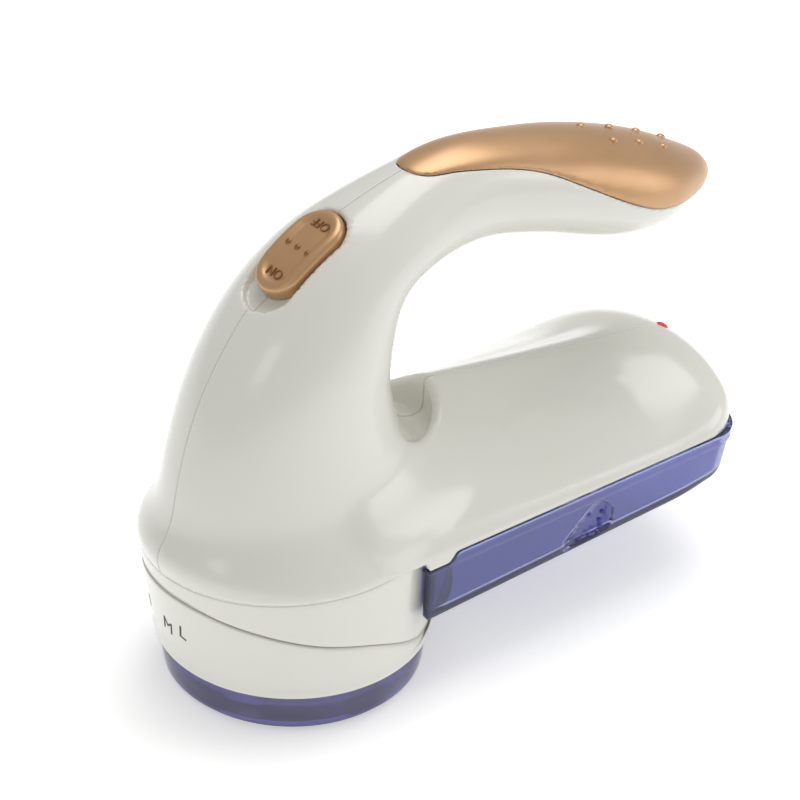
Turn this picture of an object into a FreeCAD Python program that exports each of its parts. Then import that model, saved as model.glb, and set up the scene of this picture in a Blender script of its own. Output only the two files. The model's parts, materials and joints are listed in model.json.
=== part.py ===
"""Fabric shaver: a swan-necked hand-held lint remover with a slide-out lint bin.

Frame: origin on the cutting head's axis, at the plane the head rests on.
+X runs back along the tail, +Z is up, the mould halves meet on the plane Y = 0.
All sizes are in millimetres.
"""
import FreeCAD, Part
import math
import os

V = FreeCAD.Vector

# ---------------------------------------------------------------- driving dimensions
# running and assembly clearances
slide_clearance = 0.4          # between sliding plastic parts
turn_clearance = 0.3           # between rings that turn or lift
fit_clearance = 0.15           # between parts that are assembled once
shaft_clearance = 0.05         # radial, shaft in its bush

# body shells
shell_wall = 2.0
seam_z = 39.5                  # where the body meets the head collar and the bin
seam_mid_x = -1.0              # the collar's mouth at the seam is slightly oval
seam_rx = 37.5
seam_ry = 34.6
tail_half_width = 34.6
tail_end_x = 128.0
end_r = 60.0                   # plan radius of the tail's end
corner_r = 11.0                # and of its corners
tail_side_wall = 3.0           # upright band above the rim
ridge_front_x = 40.0
ridge_front_z = 64.5
ridge_rear_x = 116.0
ridge_rear_z = 53.8

# head
collar_foot_z = 11.0
collar_foot_r = 34.0
collar_wall = 2.2
spigot_wall = 1.2
flange_bore_r = 22.0
bezel_proud = 0.35
step_z = 21.0                  # height of the sloping step on the head axis
step_slope = -0.31             # its rise per mm of X
flange_z = 34.5                # collar's inner screw flange
flange_t = 2.0
head_screw_r = 27.6

# height ring and dial
ring_h = 8.5
ring_inner_r = 29.3
ring_outer_r = 31.3
dial_foot_z = 1.0
dial_outer_r = 33.4
dial_wall = 1.8
dial_neck_h = 3.0
lift_travel = 0.8

# cutting head
foil_r = 27.0
foil_t = 0.4
foil_seat_z = 1.8
foil_hole_r = 0.9
foil_frame_outer_r = 29.0
foil_frame_top_z = 9.0
blade_t = 0.6
blade_r = 24.0
blade_gap = 0.4
fan_disc_z = 11.0
fan_disc_t = 1.5
vane_count = 6
cup_outer_r = 28.8
cup_wall = 1.5
cup_top_z = 32.6

# motor
motor_r = 12.0
motor_face_z = 42.0
motor_l = 28.0
end_cap_l = 3.0
shaft_r = 1.0
shaft_foot_z = 14.0
mount_t = 3.0
mount_r = 32.0
motor_screw_r = 8.0

# lint duct and bin
duct_half_width = 13.0
duct_floor_z = 20.5
duct_roof_z = 33.4
duct_wall = 1.5
bin_wall = 1.6
bin_floor_front_z = 21.2
bin_floor_slope = 0.033
bin_gap_to_collar = 0.6
bin_lip_w = 6.0
bin_start_x = 12.5
deck_front_x = 38.5

# deck under the tail
deck_t = 1.6
rail_y = 26.6
rail_web_t = 1.6
rail_foot_w = 2.4
rail_foot_t = 1.5
rail_drop = 4.1

# switch
switch_low = (-12.8, 102.4)    # ends of the switch recess on the front of the neck (X, Z)
switch_high = (12.4, 118.4)
recess_width = 15.0
recess_floor = -2.2            # below the chord between the recess ends
button_l = 24.6
button_w = 14.0
button_top = 2.1
switch_travel = 4.4

# battery and charging
cell_r = 5.25
cell_l = 44.5
cell_start_x = 44.0
socket_z = 46.4
socket_r = 2.9
socket_nose_l = 8.0
led_r = 1.5

# screws
boss_r = 3.4
screw_r = 1.25
screw_head_r = 2.5
shell_bosses = [(-24.0, 60.0), (17.0, 88.0), (42.0, 114.0), (98.0, 104.0), (33.0, 50.5), (95.5, 48.5)]

# Ribs of the neck and handle, from the seam up and over to the tip.  Each rib is an
# ellipse across the side view: outer point (X, Z), inner point (X, Z), half width in Y.
ribs = [
    ((-38.5, 39.5), (36.5, 39.5), 34.6),
    ((-39.1, 44.3), (37.4, 44.5), 32.4),
    ((-36.6, 49.2), (35.2, 49.2), 28.8),
    ((-33.7, 59.4), (28.7, 58.3), 24.8),
    ((-31.1, 69.9), (25.0, 68.5), 23.1),
    ((-26.5, 82.1), (23.2, 76.6), 22.3),
    ((-19.2, 94.3), (22.8, 82.9), 21.8),
    ((-9.2, 105.9), (23.7, 89.8), 20.1),
    ((3.3, 114.9), (26.5, 96.9), 17.8),
    ((17.6, 120.9), (34.3, 100.5), 15.5),
    ((31.3, 124.8), (42.2, 101.4), 13.6),
    ((47.3, 126.8), (51.7, 101.5), 12.9),
    ((63.3, 124.9), (60.4, 100.2), 14.1),
    ((79.5, 121.7), (72.6, 96.9), 15.8),
    ((94.8, 117.3), (86.7, 92.1), 17.4),
    ((109.7, 111.7), (101.8, 89.7), 16.6),
    ((120.4, 106.4), (112.7, 90.9), 12.4),
    ((127.6, 101.9), (122.7, 91.4), 7.4),
    ((131.2, 98.1), (129.7, 92.6), 3.0),
]
# lower edge of the bright inlay on the handle, seen from the side (X, Z)
inlay_edge = [(28.3, 127.0), (30.0, 124.6), (39.3, 124.2), (45.6, 123.6), (52.2, 122.5), (57.7, 121.2),
              (63.3, 119.4), (68.4, 117.1), (73.7, 114.2), (79.4, 111.0), (85.2, 107.7), (91.5, 104.4),
              (99.2, 101.4), (106.8, 100.2), (113.0, 99.7), (118.9, 99.5), (124.0, 99.2), (133.5, 97.0)]
inlay_t = 1.4
inlay_proud = 0.25
bump_r = 1.3
bump_sink = 0.35                 # of a bump's centre below the inlay's face
bump_rows = [(0.8, (87.0, 96.6, 106.0, 115.0)), (-6.3, (91.4, 100.3, 108.8))]

OUT = "parts"
os.makedirs(OUT, exist_ok=True)
parts = {}


# ---------------------------------------------------------------- small helpers
def cyl(r, z0, z1, x=0.0, y=0.0):
    return Part.makeCylinder(r, z1 - z0, V(x, y, z0))


def tube(r0, r1, z0, z1, x=0.0, y=0.0):
    """Ring of inner radius r0 and outer radius r1."""
    return cyl(r1, z0, z1, x, y).cut(cyl(r0, z0 - 1, z1 + 1, x, y))


def box(x0, x1, y0, y1, z0, z1):
    return Part.makeBox(x1 - x0, y1 - y0, z1 - z0, V(x0, y0, z0))


def cyl_y(r, y0, y1, x, z):
    return Part.makeCylinder(r, y1 - y0, V(x, y0, z), V(0, 1, 0))


def fuse(*shapes):
    out = shapes[0]
    for s in shapes[1:]:
        out = out.fuse(s)
    return out.removeSplitter() if len(shapes) > 1 else out


def cone_solid(z0, z1, grow=0.0):
    """The head's outer form between two heights: round at the foot, oval at the seam."""
    low = max(z0, collar_foot_z)
    wires = []
    for z in (low, z1):
        t = (z - collar_foot_z) / (seam_z - collar_foot_z)
        rx = collar_foot_r + t * (seam_rx - collar_foot_r) + grow
        ry = collar_foot_r + t * (seam_ry - collar_foot_r) + grow
        mid = V(t * seam_mid_x, 0, z)
        oval = Part.Ellipse(mid + V(rx, 0, 0), mid + V(0, ry, 0), mid)
        wires.append(Part.Wire([oval.toShape()]))
    form = Part.makeLoft(wires, True, True)
    return form.fuse(cyl(collar_foot_r + grow, z0, low)) if z0 < low else form


def save(name, shape):
    parts[name] = shape
    shape.exportStep(os.path.join(OUT, name + ".step"))


# ---------------------------------------------------------------- body forms
def rib_wire(outer, inner, half_width, grow):
    fx, fz = outer
    ix, iz = inner
    centre = V((fx + ix) / 2, 0, (fz + iz) / 2)
    along = V(fx - ix, 0, fz - iz)
    half = along.Length / 2 + grow
    width = half_width + grow
    along.normalize()
    side = V(0, 1, 0)
    count = 20
    pts = []
    for k in range(count):
        t = math.pi + 2 * math.pi * k / count
        pts.append(centre + along * (half * math.cos(t)) + side * (width * math.sin(t)))
    curve = Part.BSplineCurve()
    curve.interpolate(Points=pts + [pts[0]])
    return Part.Wire([curve.toShape()])


def neck_form(grow=0.0):
    """Neck and handle as one smooth loft through the ribs, grown by a normal amount."""
    use = ribs if grow > -1.0 else ribs[:-1]
    return Part.makeLoft([rib_wire(o, i, w, grow) for o, i, w in use], True, False)


def ridge_z(x):
    fall = (ridge_rear_z - ridge_front_z) / (ridge_rear_x - ridge_front_x)
    return ridge_front_z + fall * (x - ridge_front_x)


def tail_wire(x, half_width, top_z, foot_z, spring_z):
    """D-shaped section: flat foot, upright sides, elliptical arch to the ridge."""
    a = V(x, -half_width, foot_z)
    b = V(x, half_width, foot_z)
    c = V(x, half_width, spring_z)
    d = V(x, -half_width, spring_z)
    arch = Part.Arc(Part.Ellipse(V(x, half_width, spring_z), V(x, 0, top_z), V(x, 0, spring_z)), 0, math.pi)
    return Part.Wire([Part.makeLine(a, b), Part.makeLine(b, c), arch.toShape(), Part.makeLine(d, a)])


def plan_face(inset, z):
    """Outline of the tail and the bin seen from above, shrunk evenly by inset."""
    w = tail_half_width
    e = tail_end_x
    reach = math.sqrt((end_r - corner_r) ** 2 - (w - corner_r) ** 2)
    cx = e - end_r + reach
    turn = math.atan2(w - corner_r, reach)
    half_turn = (turn + math.pi / 2) / 2

    def on_corner(angle):
        return V(cx + corner_r * math.cos(angle), w - corner_r + corner_r * math.sin(angle), z)

    near = [V(6, w + 1.5, z), V(40, w, z), V(cx, w, z), on_corner(half_turn), on_corner(turn)]
    far = [V(p.x, -p.y, z) for p in near]
    edges = [Part.makeLine(near[0], near[1]), Part.makeLine(near[1], near[2]),
             Part.Arc(near[2], near[3], near[4]).toShape(),
             Part.Arc(near[4], V(e, 0, z), far[4]).toShape(),
             Part.Arc(far[4], far[3], far[2]).toShape(),
             Part.makeLine(far[2], far[1]), Part.makeLine(far[1], far[0]), Part.makeLine(far[0], near[0])]
    face = Part.Face(Part.Wire(edges))
    return face.makeOffset2D(-inset) if inset else face


def plan_prism(inset, z0, z1):
    return plan_face(inset, z0).extrude(V(0, 0, z1 - z0))


def side_prism(inset):
    """Side view of the tail: the rear rolls down from the ridge to the rim."""
    e = tail_end_x
    ridge_end = V(e - 9.5, -60, ridge_z(e - 9.5))
    rim_end = V(e, -60, seam_z + 1.0)
    middle = V(e - 2.6, -60, seam_z + 8.0)
    front_top = V(-10, -60, 90)
    lift = V(0, 0, 30)
    pts = [rim_end, V(e, -60, 20), V(-10, -60, 20), front_top, ridge_end + lift, ridge_end]
    edges = [Part.makeLine(p, q) for p, q in zip(pts[:-1], pts[1:])]
    edges.append(Part.Arc(ridge_end, middle, rim_end).toShape())
    face = Part.Face(Part.Wire(edges))
    if inset:
        face = face.makeOffset2D(-inset)
    return face.extrude(V(0, 120, 0))


def tail_form(inset=0.0, foot_z=seam_z):
    """Tail: a tapering arch, trimmed to the plan outline and the rounded rear."""
    spring = seam_z + tail_side_wall - inset * 0.5
    wires = [tail_wire(x, tail_half_width + 1.6 - inset, ridge_z(x) - inset, foot_z, spring)
             for x in (6.0, tail_end_x + 5.0)]
    arch = Part.makeLoft(wires, True, True)
    return arch.common(plan_prism(inset, foot_z - 1.0, 90)).common(side_prism(inset))


body_solid = neck_form(0.0).fuse(tail_form(0.0))
inner_solid = neck_form(-shell_wall).fuse(tail_form(shell_wall, seam_z - 2.0))
under = box(-60, 160, -60, 60, seam_z - 5, seam_z)
inner_open = inner_solid.fuse(cone_solid(seam_z - 2.0, seam_z + 2.5, -shell_wall - 0.4)).cut(under)

# switch frame: d runs up the slope between the recess ends, n points out of the neck
sw_mid = V((switch_low[0] + switch_high[0]) / 2, 0, (switch_low[1] + switch_high[1]) / 2)
sw_d = V(switch_high[0] - switch_low[0], 0, switch_high[1] - switch_low[1])
recess_l = sw_d.Length
sw_d.normalize()
sw_n = V(-sw_d.z, 0, sw_d.x)


def at_switch(shape):
    """Place a shape drawn with X up the slope, Y across, Z out of the neck."""
    m = FreeCAD.Matrix(sw_d.x, 0, sw_n.x, sw_mid.x, 0, 1, 0, 0, sw_d.z, 0, sw_n.z, sw_mid.z, 0, 0, 0, 1)
    out = shape.copy()
    out.transformShape(m, True)
    return out


def stadium(length, width, z0, z1, shift=0.0):
    r = width / 2
    half = length / 2 - r
    flat = box(shift - half, shift + half, -r, r, z0, z1)
    return fuse(flat, cyl(r, z0, z1, shift - half), cyl(r, z0, z1, shift + half))


pocket = at_switch(stadium(recess_l + 4.0, recess_width + 4.0, recess_floor - 2.0, 12.0))
recess_cut = at_switch(stadium(recess_l, recess_width, recess_floor, 14.0))
button_shift = (recess_l - button_l) / 2 - slide_clearance
stem_l = 6.0
stem_w = 3.6
slot_cut = at_switch(box(button_shift - stem_l / 2 - switch_travel - slide_clearance,
                         button_shift + stem_l / 2 + slide_clearance,
                         -stem_w / 2 - slide_clearance, stem_w / 2 + slide_clearance, -10, 0))
board_n = -17.0
board_mid = button_shift - switch_travel / 2
board_post_y = 9.0
board_screw_r = 0.8
board_t = 1.2
post_d = (board_mid - 7.0, board_mid + 7.0)
posts = [at_switch(cyl(2.0, board_n, recess_floor - 1.0, post_d[0], -board_post_y)),
         at_switch(cyl(2.0, board_n, recess_floor - 1.0, post_d[1], board_post_y))]
board_posts = [(post_d[0], -board_post_y), (post_d[1], board_post_y)]
post_holes = [at_switch(cyl(board_screw_r, board_n - 1, board_n + 6, d, y)) for d, y in board_posts]

# inlay seat on the handle
edge_curve = Part.BSplineCurve()
edge_curve.interpolate(Points=[V(x, -40, z) for x, z in inlay_edge])


def above_edge(drop):
    """Everything over the inlay's lower edge, which is moved down by drop."""
    lo = edge_curve.copy().toShape()
    lo.translate(V(0, 0, -drop))
    first = V(inlay_edge[0][0], -40, inlay_edge[0][1] - drop)
    last = V(inlay_edge[-1][0], -40, inlay_edge[-1][1] - drop)
    past = V(last.x + 4, -40, last.z)
    corners = [last, past, V(past.x, -40, 150), V(first.x, -40, 150), first]
    wire = Part.Wire([lo] + [Part.makeLine(p, q) for p, q in zip(corners[:-1], corners[1:])])
    return Part.Face(wire).extrude(V(0, 80, 0))


seat_cut = above_edge(fit_clearance).cut(neck_form(-inlay_t - fit_clearance))
inlay = neck_form(inlay_proud).common(above_edge(0.0)).cut(neck_form(-inlay_t))

# screw posts under the body for the collar, and for the deck in the tail
head_posts = []
head_post_xy = []
for k in range(4):
    a = math.radians(45 + 90 * k)
    head_post_xy.append((head_screw_r * math.cos(a), head_screw_r * math.sin(a)))
deck_post_xy = [(54.0, -20.0), (54.0, 20.0), (106.0, -19.0), (106.0, 19.0)]
deck_top = seam_z + deck_t
head_post_top = seam_z + 9.0
deck_post_top = seam_z + 7.0


def webbed_post(x, y, z0, z1, hub_x):
    """Screw post with a web that runs out to the wall."""
    reach = 20.0
    angle = math.degrees(math.atan2(y, x - hub_x))
    web = box(0, reach, -1.5, 1.5, z0, z1)
    web.rotate(V(0, 0, 0), V(0, 0, 1), angle)
    web.translate(V(x, y, 0))
    return fuse(cyl(boss_r, z0, z1, x, y), web)


def build_shells():
    inside = [webbed_post(x, y, seam_z - 3, head_post_top, 0.0) for x, y in head_post_xy]
    inside += [webbed_post(x, y, deck_top, deck_post_top, x) for x, y in deck_post_xy]
    inside += [cyl_y(boss_r, -45, 45, x, z) for x, z in shell_bosses]
    void = inner_open.cut(inside + [pocket] + posts)
    body = body_solid.cut(void)
    cuts = [recess_cut, slot_cut, led_hole] + post_holes
    cuts += [cyl(screw_r, seam_z - 1, head_post_top - 1.5, x, y) for x, y in head_post_xy]
    cuts += [cyl(screw_r, seam_z - 1, deck_post_top - 1.5, x, y) for x, y in deck_post_xy]
    cuts.append(Part.makeCylinder(socket_r + fit_clearance, 30, V(tail_end_x - 12, 0, socket_z), V(1, 0, 0)))
    body = body.cut(seat_cut).cut(cuts)
    left = body.common(box(-60, 160, -60, 0, 0, 160))
    right = body.common(box(-60, 160, 0, 60, 0, 160))
    left = left.cut([cyl_y(screw_r, -6.0, 1, x, z) for x, z in shell_bosses])
    right = right.cut([fuse(cyl_y(screw_r + fit_clearance, -1, 7, x, z),
                            cyl_y(screw_head_r + fit_clearance, 6.0, 60, x, z)) for x, z in shell_bosses])
    return left, right


# light at the tail's top rear, square to the ridge
led_x = 121.4
led_z = 52.2
led_tilt = V(0.45, 0, 0.893)


def led_form(r, low, high):
    return Part.makeCylinder(r, high - low, V(led_x, 0, led_z) + led_tilt * low, led_tilt)


led_hole = led_form(led_r + fit_clearance, -6, 12)
left_shell, right_shell = build_shells()
save("left_shell", left_shell)
save("right_shell", right_shell)

bumps = []
for row_y, xs in bump_rows:
    for bx in xs:
        probe = Part.makeLine(V(bx, row_y, 90), V(bx, row_y, 140)).common(neck_form(inlay_proud))
        top = max(v.Z for v in probe.Vertexes)
        bumps.append(Part.makeSphere(bump_r, V(bx, row_y, top - bump_sink)))
for bump in bumps:
    inlay = inlay.fuse(bump)
save("grip_inlay", inlay)

# shell screws, all from the far side
save("shell_screws", Part.makeCompound([
    fuse(cyl_y(screw_r, -6.0, 6.0, x, z), cyl_y(screw_head_r, 6.0, 7.6, x, z)) for x, z in shell_bosses]))
print("shells done")

# ---------------------------------------------------------------- switch
crown = stadium(button_l, button_w, recess_floor + slide_clearance, button_top, button_shift)
dish = Part.makeSphere(60.0, V(button_shift, 0, button_top + 60.0 - 0.7))
button = crown.cut(dish)
pips = [Part.makeSphere(0.9, V(button_shift + 0.4, 3.6 * k, button_top - 0.75)) for k in (-1, 0, 1)]
button = fuse(button, *pips)
save("switch_button", at_switch(button))
stem_top = recess_floor + slide_clearance
stem = box(button_shift - stem_l / 2, button_shift + stem_l / 2, -stem_w / 2, stem_w / 2, -8.0, stem_top)
carrier = fuse(stem, box(button_shift - 5.0, button_shift + 5.0, -4.5, 4.5, -8.0, -6.4))
lever_w = 2.4
save("switch_carrier", at_switch(carrier.cut(box(button_shift - lever_w / 2, button_shift + lever_w / 2,
                                                 -lever_w / 2, lever_w / 2, -9, -6.0))))
save("slide_switch_lever", at_switch(box(button_shift - lever_w / 2, button_shift + lever_w / 2,
                                         -lever_w / 2, lever_w / 2, -13.0, -6.0)))
sw_body = box(board_mid - 7.0, board_mid + 7.0, -4.0, 4.0, board_n, -11.0)
sw_body = sw_body.cut(box(board_mid - switch_travel / 2 - lever_w / 2 - slide_clearance,
                          board_mid + switch_travel / 2 + lever_w / 2 + slide_clearance,
                          -lever_w / 2 - 0.3, lever_w / 2 + 0.3, -13.4, -10))
save("slide_switch_body", at_switch(sw_body))
board = box(board_mid - 11.0, board_mid + 11.0, -11.5, 11.5, board_n - board_t, board_n)
board = board.cut([cyl(board_screw_r + 0.1, board_n - 3, board_n + 1, d, y) for d, y in board_posts])
save("switch_board", at_switch(board))
save("board_screws", Part.makeCompound([
    at_switch(fuse(cyl(board_screw_r, board_n - board_t, board_n + 4.5, d, y),
                   cyl(1.7, board_n - 2 * board_t, board_n - board_t, d, y))) for d, y in board_posts]))

# ---------------------------------------------------------------- head collar and bezel
step_plane = Part.makeBox(200, 200, 100, V(-100, -100, 0))
tilt = math.degrees(math.atan(-step_slope))
step_plane.rotate(V(0, 0, 0), V(0, 1, 0), tilt)
step_plane.translate(V(0, 0, step_z))       # everything over the sloping step
collar_out = cone_solid(collar_foot_z, seam_z)
collar_in = cone_solid(collar_foot_z - 1, seam_z + 1, -collar_wall)
flange = cone_solid(flange_z, flange_z + flange_t, -0.5).cut(cyl(flange_bore_r, 0, 60))
collar = collar_out.cut(collar_in).common(step_plane).fuse(flange)
# a thin spigot behind the bezel ties the bezel to the collar
spigot = cone_solid(collar_foot_z + 4.0, flange_z + 1, -collar_wall)
spigot = spigot.cut(cone_solid(collar_foot_z, flange_z + 2, -collar_wall - spigot_wall))
collar = collar.fuse(spigot)
duct_window = box(20, 60, -duct_half_width - fit_clearance, duct_half_width + fit_clearance,
                  duct_floor_z - fit_clearance, duct_roof_z + fit_clearance)
collar = collar.cut(duct_window)
for x, y in head_post_xy:
    collar = collar.cut(cyl(screw_r + fit_clearance, 0, 60, x, y))
save("head_collar", collar.removeSplitter())
bezel = cone_solid(collar_foot_z, seam_z - 3, bezel_proud)
bezel = bezel.cut(cone_solid(collar_foot_z - 1, seam_z, -collar_wall))
lower_space = box(-100, 100, -100, 100, -50, 100).cut(step_plane)
lower_space.translate(V(0, 0, -fit_clearance))
bezel = bezel.common(lower_space)
save("scale_bezel", bezel)

# ---------------------------------------------------------------- dial and height ring
dial_in = dial_outer_r - dial_wall
neck_r = collar_foot_r - collar_wall - turn_clearance
dial_top = collar_foot_z - turn_clearance
dial = tube(dial_in, dial_outer_r, dial_foot_z, dial_top)
dial = dial.fuse([tube(neck_r - 1.5, dial_outer_r, dial_top - 1.0, dial_top),
                  tube(neck_r - 1.5, neck_r, dial_top - 0.5, collar_foot_z + dial_neck_h)])
index_groove = box(-dial_outer_r - 1.0, -dial_outer_r + 0.3, -0.6, 0.6, dial_top - 2.4, dial_top)
dial = dial.cut(index_groove)
save("height_dial", dial.removeSplitter())
ring = tube(ring_inner_r, ring_outer_r - 0.6, 0, ring_h)
lug_count = 9
lug_half_angle = 15.0
for k in range(lug_count):
    middle = 360.0 / lug_count * k
    rim = [V(60 * math.cos(math.radians(middle + s)), 60 * math.sin(math.radians(middle + s)), -1)
           for s in (-lug_half_angle, 0, lug_half_angle)]
    wedge = Part.Face(Part.makePolygon([V(0, 0, -1)] + rim + [V(0, 0, -1)])).extrude(V(0, 0, 30))
    lug = tube(ring_outer_r - 1.0, ring_outer_r, 2.2 if k % 2 else 0.0, ring_h)
    ring = ring.fuse(lug.common(wedge))
ring = ring.fuse(tube(ring_inner_r, ring_outer_r, 0, 1.2))
save("distance_ring", ring.removeSplitter())

# ---------------------------------------------------------------- foil, frame, cutter
foil = cyl(foil_r, foil_seat_z, foil_seat_z + foil_t)
holes = []
pitch = 4.3
for ring_no in range(0, 6):
    n = 1 if ring_no == 0 else 6 * ring_no
    for k in range(n):
        a = 2 * math.pi * k / n
        holes.append(cyl(foil_hole_r, foil_seat_z - 1, foil_seat_z + foil_t + 1,
                         pitch * ring_no * math.cos(a), pitch * ring_no * math.sin(a)))
foil = foil.cut(Part.makeCompound(holes))
save("foil_guard", foil)
frame = tube(foil_r + fit_clearance, foil_frame_outer_r, foil_seat_z - 0.6, foil_frame_top_z)
frame = frame.fuse(tube(foil_r - 1.8, foil_frame_outer_r, foil_seat_z - 0.6, foil_seat_z))
save("foil_frame", frame.removeSplitter())

blade_z = foil_seat_z + foil_t + blade_gap
arms = []
for k in range(3):
    arm = box(2.0, blade_r, -3.2, 3.2, blade_z, blade_z + blade_t)
    arm.rotate(V(0, 0, 0), V(0, 0, 1), 120 * k)
    arms.append(arm)
blades = fuse(cyl(8.0, blade_z, blade_z + blade_t), *arms).cut(cyl(3.2, 0, 30))
blades = blades.common(cyl(blade_r, 0, 30))
save("cutter_blades", blades)
hub_r = 5.2
hub_z = blade_z + blade_t
hub = fuse(cyl(hub_r, hub_z, 18.0), tube(hub_r - 0.5, blade_r, fan_disc_z, fan_disc_z + fan_disc_t))
vanes = []
for k in range(vane_count):
    vane = box(hub_r - 0.5, blade_r - 1.0, -0.6, 0.6, hub_z, fan_disc_z + 0.2)
    vane.rotate(V(0, 0, 0), V(0, 0, 1), 360.0 / vane_count * k)
    vanes.append(vane)
hub = fuse(hub, *vanes)
peg_r = 2.6
peg_z = 9.0
hub = hub.cut(cyl(peg_r + fit_clearance, peg_z, 30)).cut(cyl(screw_r + fit_clearance, 0, 30))
hub = hub.cut(cyl(3.0, hub_z - 1, hub_z + 1.8))
save("fan_hub", hub)
coupling_top = 28.0
coupling = fuse(cyl(peg_r, peg_z + 0.5, 20.0), cyl(3.6, 20.0, coupling_top))
coupling = coupling.cut(cyl(shaft_r, shaft_foot_z, 60)).cut(cyl(screw_r, 0, shaft_foot_z - 1.0))
save("drive_coupling", coupling)
save("blade_screw", fuse(cyl(2.7, hub_z + 0.2, hub_z + 1.8), cyl(screw_r, hub_z + 1.8, shaft_foot_z - 1.2)))
spring_r = 4.2
wire_r = 0.35
helix = Part.makeHelix(2.2, 2.2 * 1.5, spring_r)
section = Part.Wire([Part.makeCircle(wire_r, V(spring_r, 0, 0), V(0, 1, 0))])
coil = Part.Wire(helix.Edges).makePipeShell([section], True, True)
coil.translate(V(0, 0, 18.0 + wire_r))
save("blade_spring", coil)

# ---------------------------------------------------------------- lint duct
cup_in_r = cup_outer_r - cup_wall
duct = tube(cup_in_r, cup_outer_r, foil_frame_top_z, cup_top_z)
duct = duct.fuse(tube(6.0, cup_outer_r, cup_top_z - cup_wall, cup_top_z))
chute = box(20, 60, -duct_half_width, duct_half_width, duct_floor_z, duct_roof_z)
chute = chute.cut(box(10, 70, -duct_half_width + duct_wall, duct_half_width - duct_wall,
                      duct_floor_z + duct_wall, duct_roof_z - duct_wall))
chute = chute.common(cone_solid(collar_foot_z, seam_z, 0.2)).cut(cyl(cup_in_r, 0, 60))
duct = duct.fuse(chute)
duct = duct.cut(box(15, 60, -duct_half_width + duct_wall, duct_half_width - duct_wall,
                    duct_floor_z + duct_wall, duct_roof_z - duct_wall - 1.0))
save("lint_duct", duct.removeSplitter())

# ---------------------------------------------------------------- motor and its mount
mount_z = seam_z - mount_t
mount = fuse(cyl(mount_r, mount_z, seam_z), cyl(motor_r + 1.7, seam_z - 0.1, motor_face_z + 9.0))
mount = mount.cut(cyl(motor_r + fit_clearance, motor_face_z, 90)).cut(cyl(3.6, 0, 60))
for s in (-1, 1):
    mount = mount.cut(cyl(1.1, 0, 60, s * motor_screw_r, 0))
    mount = mount.cut(cyl(2.2, 0, mount_z + 1.4, s * motor_screw_r, 0))
for x, y in head_post_xy:
    mount = mount.cut(cyl(screw_r + fit_clearance, 0, 60, x, y))
save("motor_mount", mount.removeSplitter())
can_top = motor_face_z + motor_l
can = cyl(motor_r, motor_face_z, can_top).cut(cyl(shaft_r + 0.4, 0, 90))
can = can.cut(cyl(3.0, 0, motor_face_z + 1.5))
for s in (-1, 1):
    can = can.cut(cyl(1.0, 0, motor_face_z + 3.0, s * motor_screw_r, 0))
save("motor_can", can)
save("motor_bushing", tube(shaft_r + shaft_clearance, 3.0, motor_face_z - 2.0, motor_face_z + 1.5))
cap = cyl(motor_r - 0.6, can_top, can_top + end_cap_l).cut(cyl(shaft_r + 0.4, 0, 90))
for s in (-1, 1):
    cap = cap.cut(box(-1.2, 1.2, s * 8.0 - 0.3, s * 8.0 + 0.3, 0, 90))
save("motor_end_cap", cap)
save("motor_shaft", cyl(shaft_r, shaft_foot_z, can_top + end_cap_l - 0.6))
save("motor_terminals", Part.makeCompound([
    box(-1.2, 1.2, s * 8.0 - 0.3, s * 8.0 + 0.3, can_top + 0.4, can_top + end_cap_l + 3.5) for s in (-1, 1)]))
save("motor_screws", Part.makeCompound([
    fuse(cyl(1.0, mount_z + 1.4, motor_face_z + 2.6, s * motor_screw_r, 0),
         cyl(2.0, mount_z + 0.1, mount_z + 1.4, s * motor_screw_r, 0)) for s in (-1, 1)]))
save("head_screws", Part.makeCompound([
    fuse(cyl(screw_r, flange_z, head_post_top - 2.0, x, y),
         cyl(screw_head_r, flange_z - 1.8, flange_z, x, y)) for x, y in head_post_xy]))

# ---------------------------------------------------------------- deck under the tail
deck_out = tail_form(shell_wall + fit_clearance, seam_z - 2.0).common(box(0, 160, -60, 60, seam_z, deck_top))
deck = deck_out.common(box(deck_front_x, 160, -60, 60, 0, 90))
for s in (-1, 1):
    y0 = min(s * rail_y, s * (rail_y + rail_web_t))
    y1 = max(s * rail_y, s * (rail_y + rail_web_t))
    deck = deck.fuse(box(46.0, 116.0, y0, y1, seam_z - rail_drop, seam_z + 0.1))
    y2 = min(s * rail_y, s * (rail_y + rail_web_t + rail_foot_w))
    y3 = max(s * rail_y, s * (rail_y + rail_web_t + rail_foot_w))
    deck = deck.fuse(box(46.0, 116.0, y2, y3, seam_z - rail_drop, seam_z - rail_drop + rail_foot_t))
board_post_xy = [(103.0, -8.0), (103.0, 8.0)]
for x, y in board_post_xy:
    deck = deck.fuse(cyl(2.0, deck_top - 0.1, deck_top + 1.4, x, y))
for x, y in deck_post_xy:
    deck = deck.cut(cyl(screw_r + fit_clearance, 0, 90, x, y))
save("bin_deck", deck.removeSplitter())
save("deck_screws", Part.makeCompound([
    fuse(cyl(screw_r, seam_z, deck_post_top - 2.0, x, y),
         cyl(screw_head_r - 0.4, seam_z - 1.2, seam_z, x, y)) for x, y in deck_post_xy]))

# ---------------------------------------------------------------- lint bin
rail_foot_top = seam_z - rail_drop + rail_foot_t
bin_top = seam_z - slide_clearance


def over_floor(offset):
    """Everything over the bin's sloping floor, raised by offset."""
    tilt_deg = -math.degrees(math.atan(bin_floor_slope))
    half = Part.makeBox(300, 200, 100, V(-60, -100, 0))
    half.rotate(V(0, 0, 0), V(0, 1, 0), tilt_deg)
    half.translate(V(0, 0, bin_floor_front_z - bin_floor_slope * 14.0 + offset))
    return half


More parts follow.
